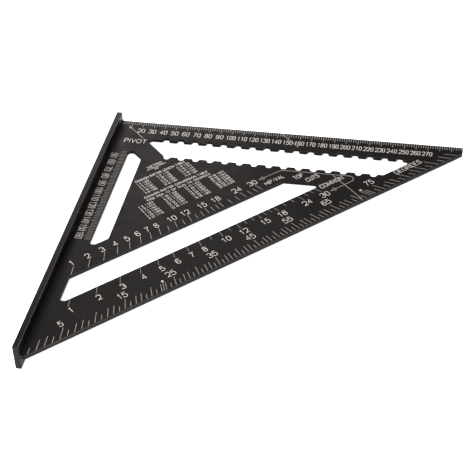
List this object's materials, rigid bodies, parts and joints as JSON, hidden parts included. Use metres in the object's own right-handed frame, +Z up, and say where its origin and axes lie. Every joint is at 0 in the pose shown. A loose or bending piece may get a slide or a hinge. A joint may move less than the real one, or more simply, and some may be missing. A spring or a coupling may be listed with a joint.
{
  "type": "rafter square",
  "caption": "Triangular metric speed square: a flat slotted blade with degree, rafter and millimetre scales, set square into a T-bar fence.",
  "frame": {"origin": "under the middle of the square's bounding box, level with the fence's lower edge", "axes": "+X runs along the ruler edge from the fence to the far tip, +Y runs along the fence towards the ruler edge, +Z is up through the marked face"},
  "size_m": [0.304, 0.3042, 0.0222],
  "materials": {
    "blade": "satin black coating on aluminium, white printed marks",
    "fence": "satin black coating on aluminium"
  },
  "bodies": {
    "root": {"blade": "blade", "fence": "fence"}
  },
  "joints": []
}
